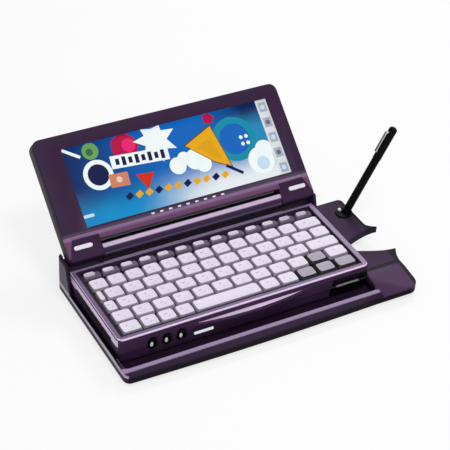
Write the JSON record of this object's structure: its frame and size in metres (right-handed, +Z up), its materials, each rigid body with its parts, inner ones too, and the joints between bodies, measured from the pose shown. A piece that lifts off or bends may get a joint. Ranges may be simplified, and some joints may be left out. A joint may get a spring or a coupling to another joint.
{
  "type": "handheld computer in a docking cradle",
  "caption": "Clamshell handheld computer with keyboard and touch screen, seated in a docking cradle that has a cable notch and a desk pen in a leaning holder.",
  "frame": {"origin": "bottom centre of the whole set, on the plane that its feet stand on, with the lid at the angle of the picture", "axes": "+X to the user's right along the keyboard, +Y away from the user towards the hinge, +Z up"},
  "size_m": [0.253, 0.168, 0.0895],
  "materials": {
    "aubergine_plastic": "dark aubergine plastic with a fine grain",
    "dark_plastic": "near-black fine-textured plastic",
    "key_plastic": "pale lavender key plastic",
    "arrow_plastic": "grey-lavender key plastic",
    "gloss_black": "glossy black plastic",
    "rubber": "soft black rubber",
    "screen_glass": "glossy touch panel over a lit display, opaque in the model",
    "module_metal": "thin pressed metal case",
    "circuit_board": "green circuit board laminate",
    "battery_wrap": "dark shrink wrap over battery cells",
    "steel": "bright plated steel",
    "light_lens": "milky white light bar",
    "contact_gold": "gold-coloured contact plug"
  },
  "bodies": {
    "cradle": {"cradle_shell": "aubergine_plastic", "cradle_base_plate": "dark_plastic", "cradle_board": "circuit_board", "dock_connector": "contact_gold", "sync_jack": "dark_plastic", "power_jack": "gloss_black", "pen_socket": "gloss_black", "foot_front_left": "rubber", "foot_front_right": "rubber", "foot_rear_left": "rubber", "foot_rear_right": "rubber"},
    "handheld": {"lower_case": "dark_plastic", "upper_case": "aubergine_plastic", "keyboard_frame": "key_plastic", "battery_pack": "battery_wrap", "main_board": "circuit_board", "card_cage": "module_metal", "speaker": "module_metal", "backup_cell": "steel", "modem_jack": "dark_plastic", "dock_port": "dark_plastic", "status_light": "light_lens", "hinge_barrel": "aubergine_plastic", "hinge_pin_left": "steel", "hinge_pin_right": "steel"},
    "card": {"card_blank": "dark_plastic"},
    "stylus": {"stylus_cap": "gloss_black", "stylus_shaft": "dark_plastic"},
    "lid": {"lid_cover": "aubergine_plastic", "display_bezel": "aubergine_plastic", "lcd_module": "module_metal", "touch_panel": "screen_glass", "backlight_inverter": "circuit_board", "bumper_left": "rubber", "bumper_right": "rubber"},
    "pen": {"pen_barrel": "gloss_black", "pen_cap": "gloss_black", "pen_clip": "steel", "pen_nib": "steel"},
    "record_button": {"record_button": "gloss_black"},
    "play_button": {"play_button": "gloss_black"},
    "wake_button": {"wake_button": "gloss_black"},
    "alt_key": {"alt_key": "key_plastic"},
    "backspace_key": {"backspace_key": "key_plastic"},
    "caps_key": {"caps_key": "key_plastic"},
    "control_key": {"control_key": "key_plastic"},
    "delete_key": {"delete_key": "key_plastic"},
    "down_arrow_key": {"down_arrow_key": "arrow_plastic"},
    "enter_key": {"enter_key": "key_plastic"},
    "escape_key": {"escape_key": "key_plastic"},
    "function_key": {"function_key": "key_plastic"},
    "left_arrow_key": {"left_arrow_key": "arrow_plastic"},
    "left_shift_key": {"left_shift_key": "key_plastic"},
    "right_arrow_key": {"right_arrow_key": "arrow_plastic"},
    "right_shift_key": {"right_shift_key": "key_plastic"},
    "space_key": {"space_key": "key_plastic"},
    "tab_key": {"tab_key": "key_plastic"},
    "up_arrow_key": {"up_arrow_key": "arrow_plastic"}
  },
  "joints": [
    {"name": "handheld_lift", "type": "slide", "parent": "cradle", "child": "handheld", "axis": [0, 0, 1], "range_m": [0, 0.06]},
    {"name": "lid_hinge", "type": "hinge", "parent": "handheld", "child": "lid", "pos_m": [-0.02888, 0.01804, 0.0315], "axis": [1, 0, 0], "range_deg": [-15, 140]},
    {"name": "card_pull", "type": "slide", "parent": "handheld", "child": "card", "axis": [-1, 0, 0], "range_m": [0, 0.09]},
    {"name": "stylus_pull", "type": "slide", "parent": "handheld", "child": "stylus", "axis": [1, 0, 0], "range_m": [0, 0.09]},
    {"name": "pen_pull", "type": "slide", "parent": "cradle", "child": "pen", "axis": [0.4617, 0, 0.887], "range_m": [0, 0.1]},
    {"name": "record_press", "type": "slide", "parent": "handheld", "child": "record_button", "axis": [0, 1, 0], "range_m": [0, 0.0008], "stiffness_N_per_m": 500, "springref_m": -0.0006},
    {"name": "play_press", "type": "slide", "parent": "handheld", "child": "play_button", "axis": [0, 1, 0], "range_m": [0, 0.0008], "stiffness_N_per_m": 500, "springref_m": -0.0006},
    {"name": "wake_press", "type": "slide", "parent": "handheld", "child": "wake_button", "axis": [0, 1, 0], "range_m": [0, 0.0008], "stiffness_N_per_m": 500, "springref_m": -0.0006},
    {"name": "alt_press", "type": "slide", "parent": "handheld", "child": "alt_key", "axis": [0, 0, -1], "range_m": [0, 0.001], "stiffness_N_per_m": 250, "springref_m": -0.0006},
    {"name": "backspace_press", "type": "slide", "parent": "handheld", "child": "backspace_key", "axis": [0, 0, -1], "range_m": [0, 0.001], "stiffness_N_per_m": 250, "springref_m": -0.0006},
    {"name": "caps_press", "type": "slide", "parent": "handheld", "child": "caps_key", "axis": [0, 0, -1], "range_m": [0, 0.001], "stiffness_N_per_m": 250, "springref_m": -0.0006},
    {"name": "control_press", "type": "slide", "parent": "handheld", "child": "control_key", "axis": [0, 0, -1], "range_m": [0, 0.001], "stiffness_N_per_m": 250, "springref_m": -0.0006},
    {"name": "delete_press", "type": "slide", "parent": "handheld", "child": "delete_key", "axis": [0, 0, -1], "range_m": [0, 0.001], "stiffness_N_per_m": 250, "springref_m": -0.0006},
    {"name": "down_arrow_press", "type": "slide", "parent": "handheld", "child": "down_arrow_key", "axis": [0, 0, -1], "range_m": [0, 0.001], "stiffness_N_per_m": 250, "springref_m": -0.0006},
    {"name": "enter_press", "type": "slide", "parent": "handheld", "child": "enter_key", "axis": [0, 0, -1], "range_m": [0, 0.001], "stiffness_N_per_m": 250, "springref_m": -0.0006},
    {"name": "escape_press", "type": "slide", "parent": "handheld", "child": "escape_key", "axis": [0, 0, -1], "range_m": [0, 0.001], "stiffness_N_per_m": 250, "springref_m": -0.0006},
    {"name": "function_press", "type": "slide", "parent": "handheld", "child": "function_key", "axis": [0, 0, -1], "range_m": [0, 0.001], "stiffness_N_per_m": 250, "springref_m": -0.0006},
    {"name": "left_arrow_press", "type": "slide", "parent": "handheld", "child": "left_arrow_key", "axis": [0, 0, -1], "range_m": [0, 0.001], "stiffness_N_per_m": 250, "springref_m": -0.0006},
    {"name": "left_shift_press", "type": "slide", "parent": "handheld", "child": "left_shift_key", "axis": [0, 0, -1], "range_m": [0, 0.001], "stiffness_N_per_m": 250, "springref_m": -0.0006},
    {"name": "right_arrow_press", "type": "slide", "parent": "handheld", "child": "right_arrow_key", "axis": [0, 0, -1], "range_m": [0, 0.001], "stiffness_N_per_m": 250, "springref_m": -0.0006},
    {"name": "right_shift_press", "type": "slide", "parent": "handheld", "child": "right_shift_key", "axis": [0, 0, -1], "range_m": [0, 0.001], "stiffness_N_per_m": 250, "springref_m": -0.0006},
    {"name": "space_press", "type": "slide", "parent": "handheld", "child": "space_key", "axis": [0, 0, -1], "range_m": [0, 0.001], "stiffness_N_per_m": 250, "springref_m": -0.0006},
    {"name": "tab_press", "type": "slide", "parent": "handheld", "child": "tab_key", "axis": [0, 0, -1], "range_m": [0, 0.001], "stiffness_N_per_m": 250, "springref_m": -0.0006},
    {"name": "up_arrow_press", "type": "slide", "parent": "handheld", "child": "up_arrow_key", "axis": [0, 0, -1], "range_m": [0, 0.001], "stiffness_N_per_m": 250, "springref_m": -0.0006}
  ]
}
